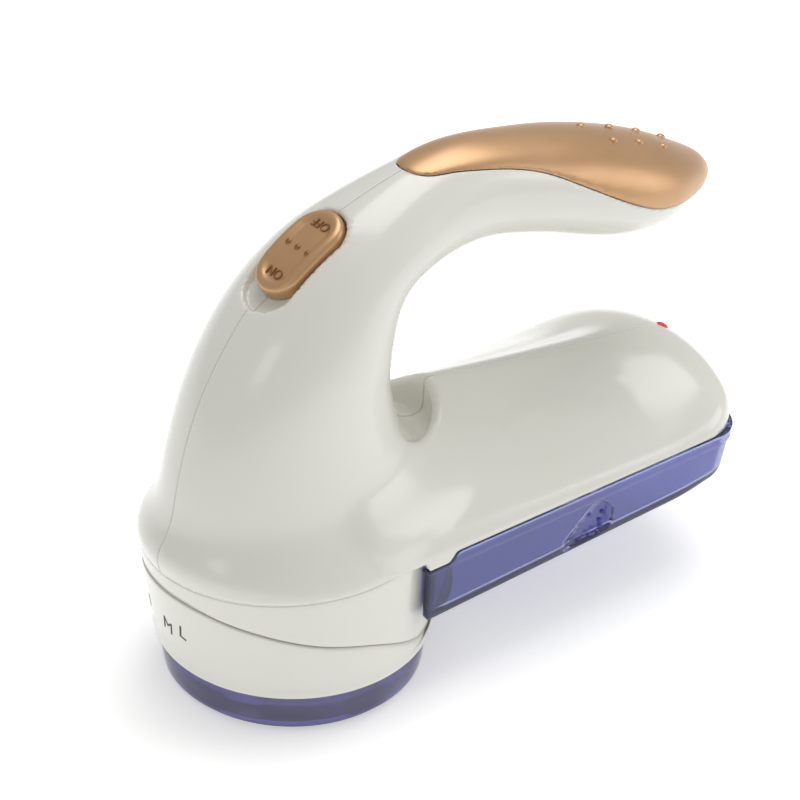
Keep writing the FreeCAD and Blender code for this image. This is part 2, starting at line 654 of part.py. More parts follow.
outer = plan_prism(0.1, 15.0, bin_top).common(over_floor(0.0))
outer = outer.cut(cone_solid(12.0, seam_z, bin_gap_to_collar))
outer = outer.common(box(bin_start_x, 160, -60, 60, 0, 60))
cavity = plan_prism(0.1 + bin_wall, 15.0, bin_top + 5).common(over_floor(bin_wall))
cavity = cavity.cut(cone_solid(12.0, seam_z + 6, bin_gap_to_collar + bin_wall))
lint_bin = outer.cut(cavity)
front_clear = box(0, 48.0, -rail_y - rail_web_t - rail_foot_w - 1.0, rail_y + rail_web_t + rail_foot_w + 1.0,
                  seam_z - rail_drop - slide_clearance, 60)
lint_bin = lint_bin.cut(front_clear)
mouth = box(30, 50, -duct_half_width - 0.5, duct_half_width + 0.5, bin_floor_front_z + 3.2, 60)
lint_bin = lint_bin.cut(mouth)
lip_in = tail_half_width - bin_lip_w
lip = plan_prism(0.4, rail_foot_top + slide_clearance, bin_top)
lip = lip.cut(box(-10, 119.5, -lip_in, lip_in, 0, 60)).common(box(46.0, 160, -60, 60, 0, 60))
lint_bin = lint_bin.fuse(lip)
save("lint_bin", lint_bin.removeSplitter())

# ---------------------------------------------------------------- battery and charging
cradle_z = deck_top
cradle = box(cell_start_x - 1.6, cell_start_x + cell_l + 1.6, -12.6, 12.6, cradle_z, cradle_z + 7.0)
cradle = cradle.cut(box(cell_start_x - 0.1, cell_start_x + cell_l + 0.1, -11.2, 11.2, cradle_z + 1.2, 80))
save("battery_cradle", cradle)
cells = []
tabs = []
for s in (-1, 1):
    cy = s * (cell_r + 0.15)
    cz = cradle_z + 1.2 + cell_r + 0.05
    cells.append(fuse(Part.makeCylinder(cell_r, cell_l - 1.3, V(cell_start_x + 0.4, cy, cz), V(1, 0, 0)),
                      Part.makeCylinder(1.9, 0.6, V(cell_start_x + cell_l - 0.9, cy, cz), V(1, 0, 0))))
save("battery_cells", Part.makeCompound(cells))
tab_z = cradle_z + 1.2 + cell_r
save("battery_tabs", Part.makeCompound([
    box(cell_start_x + cell_l - 0.25, cell_start_x + cell_l + 0.05, -9.0, 9.0, tab_z - 2.5, tab_z + 2.5),
    box(cell_start_x - 0.05, cell_start_x + 0.35, -9.0, -1.5, tab_z - 2.5, tab_z + 2.5),
    box(cell_start_x - 0.05, cell_start_x + 0.35, 1.5, 9.0, tab_z - 2.5, tab_z + 2.5)]))
pcb_z = deck_top + 1.4
pcb = box(100.0, tail_end_x - 11.0, -10.5, 10.5, pcb_z, pcb_z + 1.2)
save("charge_board", pcb)
socket_back = tail_end_x - 18.5
socket_nose = Part.makeCylinder(socket_r, socket_nose_l, V(tail_end_x - 10.5, 0, socket_z), V(1, 0, 0))
socket = fuse(box(socket_back, tail_end_x - 10.0, -4.2, 4.2, pcb_z + 1.2, socket_z + 2.6), socket_nose)
socket = socket.cut(Part.makeCylinder(1.8, 15.0, V(tail_end_x - 11.0, 0, socket_z), V(1, 0, 0)))
save("charge_socket", socket)
save("socket_pin", Part.makeCylinder(0.6, socket_nose_l - 1.0, V(tail_end_x - 11.0, 0, socket_z), V(1, 0, 0)))
save("charge_led", led_form(led_r, -2.6, 0.5))

for name, shape in parts.items():
    bb = shape.BoundBox
    print("%-20s solids %d valid %s volume %9.1f  x %.1f to %.1f  z %.1f to %.1f" % (
        name, len(shape.Solids), shape.isValid(), shape.Volume, bb.XMin, bb.XMax, bb.ZMin, bb.ZMax))
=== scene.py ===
"""Cordless fabric shaver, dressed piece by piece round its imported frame.

Sizes in the sections are millimetres until a mesh is made; the meshes are metres.
"""

import json
import math

import bpy
import numpy as np
from mathutils import Matrix, Vector


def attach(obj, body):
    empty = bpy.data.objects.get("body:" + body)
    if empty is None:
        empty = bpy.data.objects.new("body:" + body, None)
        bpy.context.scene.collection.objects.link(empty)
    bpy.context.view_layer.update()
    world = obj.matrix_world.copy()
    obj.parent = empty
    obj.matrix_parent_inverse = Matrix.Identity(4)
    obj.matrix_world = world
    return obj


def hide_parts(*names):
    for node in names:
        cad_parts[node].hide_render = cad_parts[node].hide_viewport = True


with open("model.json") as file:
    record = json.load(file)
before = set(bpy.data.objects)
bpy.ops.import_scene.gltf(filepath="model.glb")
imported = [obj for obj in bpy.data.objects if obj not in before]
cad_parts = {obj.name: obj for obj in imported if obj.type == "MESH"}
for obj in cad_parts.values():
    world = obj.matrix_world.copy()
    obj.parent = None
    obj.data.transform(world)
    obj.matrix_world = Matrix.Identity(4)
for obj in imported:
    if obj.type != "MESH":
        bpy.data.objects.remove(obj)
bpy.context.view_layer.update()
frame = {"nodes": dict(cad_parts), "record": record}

# ------------------------------------------------------------------ camera, lights and floor
# A long-lens product view from the front left and above, a white sweep under
# the shaver and three large soft lights round it.
azimuth, elevation, roll = np.radians([-39.11, 31.69, 1.79])
back = np.array([math.sin(azimuth) * math.cos(elevation),
                 -math.cos(azimuth) * math.cos(elevation), math.sin(elevation)])
level_right = np.array([math.cos(azimuth), math.sin(azimuth), 0.0])
level_up = np.cross(back, level_right)
right = level_right * math.cos(roll) + level_up * math.sin(roll)
up = level_up * math.cos(roll) - level_right * math.sin(roll)
aim_right, aim_up, distance_back = 26.89, 62.06, 600.0
eye = (right * aim_right + up * aim_up + back * distance_back) * 0.001
camera = bpy.data.objects.new("camera", bpy.data.cameras.new("camera"))
camera.data.sensor_width = 36.0
camera.data.lens = 107.39
camera.data.clip_start = 0.01
pose = Matrix([(*row, place) for row, place in zip(np.stack([right, up, back], 1), eye)] + [(0, 0, 0, 1)])
camera.matrix_world = pose
bpy.context.scene.collection.objects.link(camera)
bpy.context.scene.camera = camera
bpy.context.scene.view_settings.view_transform = "Standard"


def soft_light(name, place, size, power):
    """A square area light of this size at a place, aimed at the middle of the shaver."""
    data = bpy.data.lights.new(name, "AREA")
    data.size = size
    data.energy = power
    lamp = bpy.data.objects.new(name, data)
    lamp.location = place
    lamp.rotation_euler = (Vector((0.045, 0.0, 0.06)) - Vector(place)).to_track_quat("-Z", "Y").to_euler()
    bpy.context.scene.collection.objects.link(lamp)


soft_light("light_over", (0.30, 0.10, 0.85), 0.6, 3.4)
soft_light("light_right", (0.85, -0.55, 0.40), 0.5, 1.5)
soft_light("light_left", (-0.85, -0.25, 0.55), 0.25, 0.35)

sky = bpy.data.worlds.new("studio")
sky.use_nodes = True
sky.node_tree.nodes["Background"].inputs["Color"].default_value = (1.0, 1.0, 1.0, 1.0)
sky.node_tree.nodes["Background"].inputs["Strength"].default_value = 0.46
bpy.context.scene.world = sky

floor_mesh = bpy.data.meshes.new("floor")
floor_reach, floor_drop = 4, 0.0009
floor_corners = [(floor_reach * i, floor_reach * j, -floor_drop)
                 for i, j in ((-1, -1), (1, -1), (1, 1), (-1, 1))]
floor_mesh.from_pydata(floor_corners, [], [(0, 1, 2, 3)])
floor = bpy.data.objects.new("floor", floor_mesh)
bpy.context.scene.collection.objects.link(floor)
floor_paint = bpy.data.materials.new("white_sweep")
floor_paint.use_nodes = True
floor_look = floor_paint.node_tree.nodes["Principled BSDF"].inputs
floor_look["Base Color"].default_value = (0.95, 0.95, 0.95, 1.0)
floor_look["Roughness"].default_value = 0.9
floor_look["Emission Color"].default_value = (1.0, 1.0, 1.0, 1.0)
floor_look["Emission Strength"].default_value = 0.42
floor_mesh.materials.append(floor_paint)

# ------------------------------------------------------------------ body shells
# Two glossy ivory ABS mouldings, left and right, that meet on Y = 0.  They take in the
# swan neck, the handle and the tail over the bin, and are screwed together from the right.

# Ribs across the side view from below the seam, up the neck and over to the tip:
# outer X, outer Z, inner X, inner Z, half width.
neck_ribs = np.array([
    (-37.9, 35.0, 35.4, 35.0, 34.3), (-38.5, 39.5, 36.5, 39.5, 34.6), (-39.1, 44.3, 37.4, 44.5, 32.4),
    (-36.6, 49.2, 35.2, 49.2, 28.8), (-33.7, 59.4, 28.7, 58.3, 24.8), (-31.1, 69.9, 25.0, 68.5, 23.1),
    (-26.5, 82.1, 23.2, 76.6, 22.3), (-19.2, 94.3, 22.8, 82.9, 21.8), (-9.2, 105.9, 23.7, 89.8, 20.1),
    (3.3, 114.9, 26.5, 96.9, 17.8), (17.6, 120.9, 34.3, 100.5, 15.5), (31.3, 124.8, 42.2, 101.4, 13.6),
    (47.3, 126.8, 51.7, 101.5, 12.9), (63.3, 124.9, 60.4, 100.2, 14.1), (79.5, 121.7, 72.6, 96.9, 15.8),
    (94.8, 117.3, 86.7, 92.1, 17.4), (109.7, 111.7, 101.8, 89.7, 16.6), (120.4, 106.4, 112.7, 90.9, 12.4),
    (127.6, 101.9, 122.7, 91.4, 6.8), (130.8, 98.4, 129.4, 93.0, 1.8)])
shell_wall = 1.8
seam_z = 39.5
parting_gap = 0.09
net_step = 1.0


def spline(knots, values, at):
    """Natural cubic curve through the values at the knots, read at other places."""
    h = np.diff(knots)
    inner = np.arange(1, len(knots) - 1)
    system = np.eye(len(knots))
    system[inner, inner - 1] = h[:-1]
    system[inner, inner] = 2 * (h[:-1] + h[1:])
    system[inner, inner + 1] = h[1:]
    slopes = np.diff(values, axis=0) / h[:, None]
    bend = np.zeros_like(values)
    bend[1:-1] = 6 * np.diff(slopes, axis=0)
    m = np.linalg.solve(system, bend)
    k = np.clip(np.searchsorted(knots, at) - 1, 0, len(knots) - 2)
    t, u, w = (at - knots[k])[:, None], (knots[k + 1] - at)[:, None], h[k][:, None]
    return (m[k] * u ** 3 + m[k + 1] * t ** 3) / (6 * w) + (values[k] / w - m[k] * w / 6) * u \
        + (values[k + 1] / w - m[k + 1] * w / 6) * t


rib_mid = (neck_ribs[:, 0:2] + neck_ribs[:, 2:4]) / 2
rib_run = np.r_[0, np.cumsum(np.hypot(*np.diff(rib_mid, axis=0).T) + 0.15 * np.abs(np.diff(neck_ribs[:, 4])))]
stations = spline(rib_run, neck_ribs, np.linspace(0, rib_run[-1], 620))
centre = (stations[:, 0:2] + stations[:, 2:4]) / 2
across = stations[:, 0:2] - stations[:, 2:4]
half_deep = np.hypot(*across.T) / 2
across = across / (2 * half_deep[:, None])
along = np.stack([across[:, 1], -across[:, 0]], 1)
half_wide = stations[:, 4]

side_x = np.arange(-44.0, 138.0, net_step)
side_z = np.arange(35.5, 134.0, net_step)


def side_table():
    """For each point of the side view: how far it lies from the neck's centre line, as a
    share of the rib's half depth there, with that rib's half depth and half width."""
    gx, gz = [g.ravel()[:, None] for g in np.meshgrid(side_x, side_z, indexing="ij")]
    ahead = (gx - centre[:, 0]) * along[:, 0] + (gz - centre[:, 1]) * along[:, 1]
    off = ((gx - centre[:, 0]) * across[:, 0] + (gz - centre[:, 1]) * across[:, 1]) / half_deep
    crossed = (ahead[:, :-1] >= 0) & (ahead[:, 1:] < 0)
    share = ahead[:, :-1] / np.where(crossed, ahead[:, :-1] - ahead[:, 1:], 1.0)
    there = off[:, :-1] + share * (off[:, 1:] - off[:, :-1])
    pick = np.argmin(np.where(crossed, np.abs(there), 1e9), axis=1)
    row = np.arange(len(pick))
    found = crossed[row, pick]
    pick = np.where(found, pick, len(half_deep) - 1)
    t = np.where(found, share[row, np.minimum(pick, share.shape[1] - 1)], 0.0)
    following = np.minimum(pick + 1, len(half_deep) - 1)
    past = np.where(found, 0.0, np.maximum(ahead[:, -1], 0.0) / 1.2)
    u = np.where(found, there[row, np.minimum(pick, there.shape[1] - 1)], np.hypot(off[:, -1], past))
    deep = half_deep[pick] + t * (half_deep[following] - half_deep[pick])
    wide = half_wide[pick] + t * (half_wide[following] - half_wide[pick])
    return np.stack([np.minimum(np.abs(u), 6.0), deep, wide], 1).reshape(len(side_x), len(side_z), 3)


neck_table = side_table()


def smooth_step(edge0, edge1, x):
    """Goes from 0 to 1 between two edges, level at both ends."""
    t = np.clip((x - edge0) / (edge1 - edge0), 0, 1)
    return t * t * (3 - 2 * t)


def smooth_max(a, b, k):
    """Larger of two distances, with a fillet of about k where they cross."""
    h = np.clip(0.5 + 0.5 * (a - b) / k, 0, 1)
    return b + (a - b) * h + k * h * (1 - h)


def smooth_min(a, b, k):
    """Smaller of two distances, with a fillet of about k where they cross."""
    return -smooth_max(-a, -b, k)


def neck_distance(p):
    """Signed distance, near enough, to the elliptical section of the neck and handle."""
    fx = np.clip((p[:, 0] - side_x[0]) / net_step, 0, len(side_x) - 1.001)
    fz = np.clip((p[:, 2] - side_z[0]) / net_step, 0, len(side_z) - 1.001)
    i, k = fx.astype(int), fz.astype(int)
    a, b = (fx - i)[:, None], (fz - k)[:, None]
    v = (neck_table[i, k] * (1 - a) + neck_table[i + 1, k] * a) * (1 - b) \
        + (neck_table[i, k + 1] * (1 - a) + neck_table[i + 1, k + 1] * a) * b
    small = np.minimum(v[:, 1], v[:, 2])
    return (np.sqrt(v[:, 0] ** 2 + (p[:, 1] / v[:, 2]) ** 2) - 1) * small


# the tail's half width, its rear end, the corners of its plan and the height its roof springs from
tail_w, tail_end, tail_corner, spring_z = 34.6, 128.0, 11.0, 40.3
plan_bow, rear_bow = 120.0, 118.0
ridge_x, ridge_z, ridge_fall, ridge_bend, ridge_round = 40.0, 65.4, 0.17, 0.0004, 4.0
rear_start, rear_run, gable_run = 111.6, 18.4, 32.7
scoop_y, scoop_half, scoop_deep = 13.0, 5.0, 1.0
prow_x, prow_bow = 39.5, 0.06
saddle_z, saddle_end, saddle_fall = 54.5, 60.0, 0.018
tail_front = 4.0


def tail_distance(p):
    """Signed distance to the tail: a rounded plan under a roof with a ridge on Y = 0, whose flanks
    are flat in front and arched at the rear, with a long shallow scoop on each side of the ridge.
    Its prow stands behind the neck, over a lower saddle that joins the two."""
    x, y, z = p[:, 0], np.abs(p[:, 1]), p[:, 2]
    px = x + y ** 2 / plan_bow - (tail_end - tail_corner)
    qy = y - (tail_w - tail_corner)
    plan = np.hypot(np.maximum(px, 0), np.maximum(qy, 0)) + np.minimum(np.maximum(px, qy), 0) - tail_corner
    ridge = ridge_z - ridge_fall * (x - ridge_x) + ridge_bend * (x - ridge_x) ** 2
    reach = np.clip((x + y ** 2 / rear_bow - rear_start) / rear_run, 0, 1)
    ridge = spring_z + (ridge - spring_z) * (1 - reach ** 2.6) ** 0.5
    share = np.clip(y / tail_w, 0, 1)
    gable = 1 - (np.sqrt(y ** 2 + ridge_round ** 2) - ridge_round) / gable_run
    arch = gable + ((1 - share ** 1.9) ** 0.62 - gable) * smooth_step(92, 124, x)
    scoop = scoop_deep * np.exp(-((y - scoop_y) / scoop_half) ** 2)
    scoop = scoop * smooth_step(46, 58, x) * (1 - smooth_step(80, 116, x))
    roof = spring_z + (ridge - spring_z) * arch - scoop
    hump = smooth_max((z - roof) * 0.9, (prow_x - prow_bow * y ** 2 - x) * 0.9, 2.2 + 0.16 * y)
    saddle = (z - (saddle_z - saddle_fall * y ** 2)) * 0.95
    top = smooth_min(hump, np.maximum(saddle, x - saddle_end), 4.0)
    return smooth_max(smooth_max(plan, top, 3.6), tail_front - x, 3.0)


# frame of the switch recess on the front of the neck: d up the slope, n outwards
recess_low, recess_high = np.array([-12.8, 102.4]), np.array([12.4, 118.4])
recess_mid = (recess_low + recess_high) / 2
recess_long = np.hypot(*(recess_high - recess_low))
slope_d = (recess_high - recess_low) / recess_long
slope_n = np.array([-slope_d[1], slope_d[0]])
recess_wide, recess_deep = 15.0, -2.2


def switch_axes(p):
    """Places along the slope, across it and out of it, from the middle of the recess."""
    rel = p[:, [0, 2]] - recess_mid
    return rel @ slope_d, p[:, 1], rel @ slope_n


def stadium_distance(d, y, length, width):
    """Signed distance to a stadium: a straight strip with half-round ends."""
    return np.hypot(np.maximum(np.abs(d) - (length - width) / 2, 0), y) - width / 2


def body_distance(p):
    """Signed distance to the whole body: neck and tail joined by a fillet that is small at the
    seam, widest at the shoulder and middling above it, less the recess for the switch."""
    over_seam, over_shoulder = smooth_step(40.0, 50.0, p[:, 2]), smooth_step(50.0, 58.0, p[:, 2])
    fillet = 1.5 + over_seam * (11.5 - 5.0 * over_shoulder)
    form = smooth_min(neck_distance(p), tail_distance(p), fillet)
    d, y, n = switch_axes(p)
    well = smooth_max(stadium_distance(d, y, recess_long, recess_wide), recess_deep - n, 0.8)
    return smooth_max(form, -well, 1.0)


def surface_net(distance, low, high, step):
    """Mesh of the surface where a distance is zero: one vertex in every grid cell that the
    surface passes through, one four-sided face for every grid edge that it crosses."""
    axes = [np.arange(a, b, step) for a, b in zip(low, high)]
    grid = np.stack(np.meshgrid(*axes, indexing="ij"), -1)
    field = distance(grid.reshape(-1, 3)).reshape(grid.shape[:3])
    n = np.array(field.shape) - 1
    corners = np.array([(i, j, k) for i in (0, 1) for j in (0, 1) for k in (0, 1)])
    inside = sum((field[i:i + n[0], j:j + n[1], k:k + n[2]] < 0).astype(int) for i, j, k in corners)
    cells = np.argwhere((inside > 0) & (inside < 8))
    index = np.full(n, -1)
    index[tuple(cells.T)] = np.arange(len(cells))
    total, count = np.zeros((len(cells), 3)), np.zeros((len(cells), 1))
    for a in corners:
        for b in corners[(np.abs(corners - a).sum(1) == 1) & (corners.sum(1) > a.sum())]:
            va, vb = field[tuple((cells + a).T)], field[tuple((cells + b).T)]
            cut = (va < 0) != (vb < 0)
            t = va / np.where(cut, va - vb, 1.0)
            total += np.where(cut[:, None], a + t[:, None] * (b - a), 0)
            count += cut[:, None]
    points = np.array(low) + (cells + total / count) * step
    quads = []
    for d in range(3):
        u, v = (d + 1) % 3, (d + 2) % 3
        start, stop = [slice(1, -1)] * 3, [slice(1, -1)] * 3
        start[d], stop[d] = slice(0, -1), slice(1, None)
        first, second = field[tuple(start)] < 0, field[tuple(stop)] < 0
        edge = np.argwhere(first != second)
        flip = first[tuple(edge.T)]
        edge[:, u] += 1
        edge[:, v] += 1
        step_u, step_v = np.eye(3, dtype=int)[u], np.eye(3, dtype=int)[v]
        ring = [index[tuple((edge - step_u * i - step_v * j).T)] for i, j in ((1, 1), (0, 1), (0, 0), (1, 0))]
        ring = np.stack(ring, -1)
        ring[~flip] = ring[~flip][:, ::-1]
        quads.append(ring)
    return points, np.concatenate(quads)


def slope_of(distance, p, h=0.35):
    """Slope of a distance at many points, by central differences."""
    return np.stack([distance(p + h * e) - distance(p - h * e) for e in np.eye(3)], 1) / (2 * h)


def settle(distance, p, rounds=3):
    """Moves points down the distance's slope on to the surface where it is zero."""
    for _ in range(rounds):
        g = slope_of(distance, p)
        move = distance(p)[:, None] * g / np.maximum((g ** 2).sum(1, keepdims=True), 0.05)
        p = p - np.clip(move, -0.8, 0.8)
    return p


def split_quads(quads):
    """Two triangles for each four-sided face."""
    return np.concatenate([quads[:, [0, 1, 2]], quads[:, [0, 2, 3]]])


def keep_positive(points, tris, level):
    """Trims a triangle mesh where a level falls below zero, with new points on the cut."""
    level = np.where(np.abs(level) < 1e-4, 1e-4, level)
    held = level[tris] > 0
    many = held.sum(1)
    one = tris[many == 1]
    turn = np.argmax(held[many == 1], 1)
    a, b, c = [one[np.arange(len(one)), (turn + i) % 3] for i in range(3)]
    two = tris[many == 2]
    turn = np.argmin(held[many == 2], 1)
    d, e, f = [two[np.arange(len(two)), (turn + i) % 3] for i in range(3)]
    ends = np.concatenate([np.stack(p, 1) for p in ((a, b), (a, c), (d, e), (d, f))])
    ends, place = np.unique(np.sort(ends, 1), axis=0, return_inverse=True)
    la, lb = level[ends[:, 0]], level[ends[:, 1]]
    t = (la / (la - lb))[:, None]
    fresh = points[ends[:, 0]] * (1 - t) + points[ends[:, 1]] * t
    place = place.ravel() + len(points)
    ab, ac, de, df = np.split(place, np.cumsum([len(a), len(a), len(d)]))
    tips = np.stack([a, ab, ac], 1)
    stumps = np.concatenate([np.stack([de, e, f], 1), np.stack([de, f, df], 1)])
    out = np.concatenate([tris[many == 3], tips, stumps])
    points = np.concatenate([points, fresh])
    used, out = np.unique(out, return_inverse=True)
    return points[used], out.reshape(-1, 3)


def new_piece(name, points, faces, smooth=True):
    """A mesh object from points in millimetres and rows of point numbers."""
    mesh = bpy.data.meshes.new(name)
    mesh.from_pydata((np.asarray(points) * 0.001).tolist(), [], [list(map(int, f)) for f in faces])
    mesh.polygons.foreach_set("use_smooth", np.full(len(mesh.polygons), smooth))
    mesh.update()
    piece = bpy.data.objects.new(name, mesh)
    bpy.context.scene.collection.objects.link(piece)
    return piece


def thicken(piece, wall):
    """Gives an open skin a wall of this many millimetres, inwards."""
    solid = piece.modifiers.new("wall", "SOLIDIFY")
    solid.thickness = wall * 0.001
    solid.offset = -1.0


# side view of the inlay's lower edge
inlay_edge = np.array([
    (27.6, 130.0), (28.6, 126.6), (30.2, 124.9), (39.3, 124.2), (45.6, 123.6), (52.2, 122.5), (57.7, 121.2),
    (63.3, 119.4), (68.4, 117.1), (73.7, 114.2), (79.4, 111.0), (85.2, 107.7), (91.5, 104.4), (99.2, 101.4),
    (106.8, 100.2), (113.0, 99.7), (118.9, 99.5), (124.0, 99.2), (133.5, 97.0)])
edge_x = np.linspace(inlay_edge[0, 0], inlay_edge[-1, 0], 400)
edge_line = spline(inlay_edge[:, 0], inlay_edge[:, 1:2], edge_x)[:, 0]


def over_edge(p):
    """Height over the inlay's edge, measured square to it; below zero in front of it."""
    height = p[:, 2] - np.interp(p[:, 0], edge_x, edge_line, left=140.0)
    fall = np.interp(p[:, 0], edge_x, np.gradient(edge_line, edge_x))
    return height / np.sqrt(1 + fall ** 2)


led_place, led_lean, led_hole_r = np.array([121.6, 0.0, 52.6]), np.array([0.52, 0.0, 0.854]), 1.75
inlet_x, inlet_z, inlet_r = 115.0, 46.4, 3.05
lever_slot_half, lever_slot_wide = 6.5, 2.2
screw_hole_r, well_r, well_foot_y = 2.65, 2.75, 6.0
screw_spots = np.array([(-24.0, 60.0), (17.0, 88.0), (42.0, 114.0), (98.0, 104.0), (33.0, 50.5)])


def lower_line(p):
    """Lower edge of the shells: level, with a step down over the front end of the bin."""
    drop = (p[:, 0] > 14.3) * (1 - smooth_step(20.5, 23.4, p[:, 0]))
    return seam_z + 0.05 - 2.3 * drop


skin, skin_quads = surface_net(body_distance, (-43.5, -2.0, 36.0), (137.0, 40.0, 133.0), net_step)
skin = settle(body_distance, skin)
half, half_tris = keep_positive(skin, split_quads(skin_quads), skin[:, 1] - parting_gap)
half, half_tris = keep_positive(half, half_tris, half[:, 2] - lower_line(half))
handle, handle_tris = half, half_tris
half, half_tris = keep_positive(half, half_tris, -over_edge(half) - 0.18)
led_clear = np.linalg.norm(np.cross(half - led_place, led_lean), axis=1) - led_hole_r
half, half_tris = keep_positive(half, half_tris, led_clear)
inlet = np.where(half[:, 0] > inlet_x, np.hypot(half[:, 1], half[:, 2] - inlet_z) - inlet_r, 1.0)
half, half_tris = keep_positive(half, half_tris, inlet)
slot_d, slot_y, slot_n = switch_axes(half)
slot = np.maximum(np.abs(slot_d) - lever_slot_half, slot_y - lever_slot_wide)
slot = np.where((slot_n < -0.5) & (slot_n > -4), slot, 1.0)
half, half_tris = keep_positive(half, half_tris, slot)

left_shell = new_piece("left_skin", half * (1, -1, 1), half_tris[:, ::-1])
bored, bored_tris = half, half_tris
for spot in screw_spots:
    hole_clear = np.hypot(*(bored[:, [0, 2]] - spot).T) - screw_hole_r
    bored, bored_tris = keep_positive(bored, bored_tris, hole_clear)
right_shell = new_piece("right_skin", bored, bored_tris)
for shell in (left_shell, right_shell):
    thicken(shell, shell_wall)


def noise_group(name, detail):
    """Node group: a soft noise on Object coordinates, spread between a low and a high value."""
    group = bpy.data.node_groups.new(name, "ShaderNodeTree")
    for socket, value in (("Scale", 100.0), ("Low", 0.0), ("High", 1.0)):
        number = group.interface.new_socket(socket, in_out="INPUT", socket_type="NodeSocketFloat")
        number.default_value = value
    group.interface.new_socket("Vector", in_out="INPUT", socket_type="NodeSocketVector")
    group.interface.new_socket("Value", in_out="OUTPUT", socket_type="NodeSocketFloat")
    n, links = group.nodes, group.links
    given, out = n.new("NodeGroupInput"), n.new("NodeGroupOutput")
    noise, spread = n.new("ShaderNodeTexNoise"), n.new("ShaderNodeMapRange")
    noise.inputs["Detail"].default_value = detail
    spread.inputs["From Min"].default_value = 0.15
    spread.inputs["From Max"].default_value = 0.85
    links.new(given.outputs["Vector"], noise.inputs["Vector"])
    links.new(given.outputs["Scale"], noise.inputs["Scale"])
    links.new(noise.outputs["Fac"], spread.inputs["Value"])
    links.new(given.outputs["Low"], spread.inputs["To Min"])
    links.new(given.outputs["High"], spread.inputs["To Max"])
    links.new(spread.outputs["Result"], out.inputs["Value"])
    return group


mottle = noise_group("mottle", 2.0)
grain = noise_group("grain", 5.0)


def finish_paint(name, shade, tint, rough, metal=0.0, patch=25.0, fine=900.0, depth=0.02,
                 stretch=(1, 1, 1)):
    """A material whose colour drifts between two shades, whose roughness drifts between two
    values and whose surface carries a fine grain."""
    paint = bpy.data.materials.new(name)
    paint.use_nodes = True
    n, links = paint.node_tree.nodes, paint.node_tree.links
    bsdf = n["Principled BSDF"]
    bsdf.inputs["Metallic"].default_value = metal
    coords, place = n.new("ShaderNodeTexCoord"), n.new("ShaderNodeMapping")
    place.inputs["Scale"].default_value = stretch
    links.new(coords.outputs["Object"], place.inputs["Vector"])
    drift, sheen, skin_grain = [n.new("ShaderNodeGroup") for _ in range(3)]
    drift.node_tree, sheen.node_tree, skin_grain.node_tree = mottle, mottle, grain
    drift.inputs["Scale"].default_value = patch
    sheen.inputs["Scale"].default_value = patch * 3.1
    sheen.inputs["Low"].default_value, sheen.inputs["High"].default_value = rough
    skin_grain.inputs["Scale"].default_value = fine
    for group in (drift, sheen, skin_grain):
        links.new(place.outputs["Vector"], group.inputs["Vector"])
    mix = n.new("ShaderNodeMix")
    mix.data_type = "RGBA"
    mix.inputs[6].default_value = (*shade, 1.0)
    mix.inputs[7].default_value = (*tint, 1.0)
    links.new(drift.outputs["Value"], mix.inputs["Factor"])
    links.new(mix.outputs[2], bsdf.inputs["Base Color"])
    links.new(sheen.outputs["Value"], bsdf.inputs["Roughness"])
    bump = n.new("ShaderNodeBump")
    bump.inputs["Strength"].default_value = 0.35
    bump.inputs["Distance"].default_value = depth * 0.001
    links.new(skin_grain.outputs["Value"], bump.inputs["Height"])
    links.new(bump.outputs["Normal"], bsdf.inputs["Normal"])
    return paint


def lacquer(paint, weight, rough):
    """Lays a clear coat of this weight and roughness over a material."""
    look = paint.node_tree.nodes["Principled BSDF"].inputs
    look["Coat Weight"].default_value = weight
    look["Coat Roughness"].default_value = rough


ivory = finish_paint("glossy_ivory", (0.79, 0.785, 0.72), (0.775, 0.765, 0.695), (0.24, 0.27), patch=14.0)
lacquer(ivory, 0.5, 0.12)
ivory.node_tree.nodes["Principled BSDF"].inputs["IOR"].default_value = 1.5
for shell, node in ((left_shell, "left_shell"), (right_shell, "right_shell")):
    shell.data.materials.append(ivory)
    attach(shell, "housing")
    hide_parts(node)

# screw wells: moulded tubes in the right shell that lead down to the screw heads
well_sides = 32
well_turn = np.linspace(0, 2 * np.pi, well_sides + 1)[:-1]


def tube_grid(rings, turn):
    """Faces of a closed band: each ring of points is joined to the next one."""
    k, i = np.meshgrid(np.arange(rings - 1), np.arange(turn), indexing="ij")
    a, b = k * turn + i, k * turn + (i + 1) % turn
    return np.stack([a, b, b + turn, a + turn], -1).reshape(-1, 4)


wells, well_faces = [], []
for spot in screw_spots:
    circle_x, circle_z = spot[0] + well_r * np.cos(well_turn), spot[1] + well_r * np.sin(well_turn)
    circle = np.stack([circle_x, 0 * well_turn, circle_z], 1)
    near = half[np.hypot(*(half[:, [0, 2]] - spot).T) < 4.2]
    outer_y = near[:, 1].min() - 0.6 if len(near) else 12.0
    if outer_y > well_foot_y + 1.0:
        well_faces.append(tube_grid(2, well_sides) + 2 * well_sides * len(wells))
        wells.append(np.concatenate([circle + (0, outer_y, 0), circle + (0, well_foot_y, 0)]))
screw_wells = new_piece("screw_wells", np.concatenate(wells), np.concatenate(well_faces))
screw_wells.data.materials.append(ivory)
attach(screw_wells, "housing")

